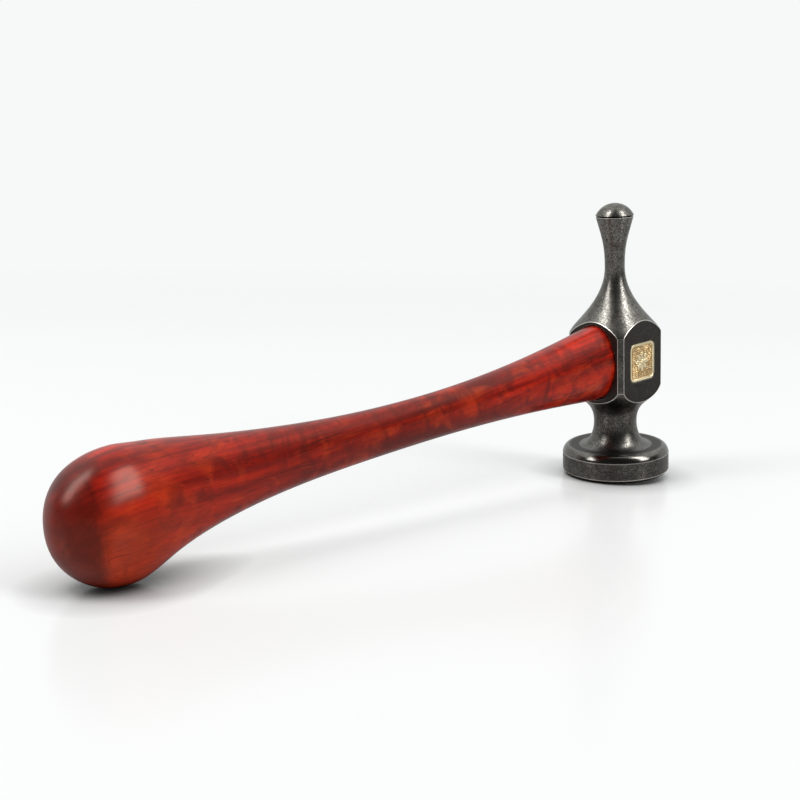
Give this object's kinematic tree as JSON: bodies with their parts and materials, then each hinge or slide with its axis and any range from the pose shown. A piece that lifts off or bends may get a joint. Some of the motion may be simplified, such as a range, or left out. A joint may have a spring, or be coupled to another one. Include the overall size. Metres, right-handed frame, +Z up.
{
  "type": "leather craft hammer",
  "caption": "Small leather craft hammer: turned dark steel head with a round flat foot, square eye block and slender domed peen, on an oval red wood handle with a bulb end.",
  "frame": {"origin": "middle of the hammer's outer box, at the height of the bench that it lies on", "axes": "+Z up from the bench; +X from the handle's bulb towards the head; +Y away from the badge's cheek. The hammer lies as it rests, tipped 5.04 degrees about Y, so the foot's edge and the bulb both touch the bench"},
  "size_m": [0.2026, 0.032, 0.0824],
  "materials": {
    "head_steel": "tumbled dark grey, with bright worn edges",
    "handle_wood": "red padauk, satin polish",
    "wedge_wood": "pale hardwood, end grain showing",
    "ring_steel": "bright turned",
    "badge_brass": "struck, with a raised border"
  },
  "bodies": {
    "root": {"head": "head_steel", "handle": "handle_wood", "wooden_wedge": "wedge_wood", "ring_wedge": "ring_steel", "badge": "badge_brass"}
  },
  "joints": []
}
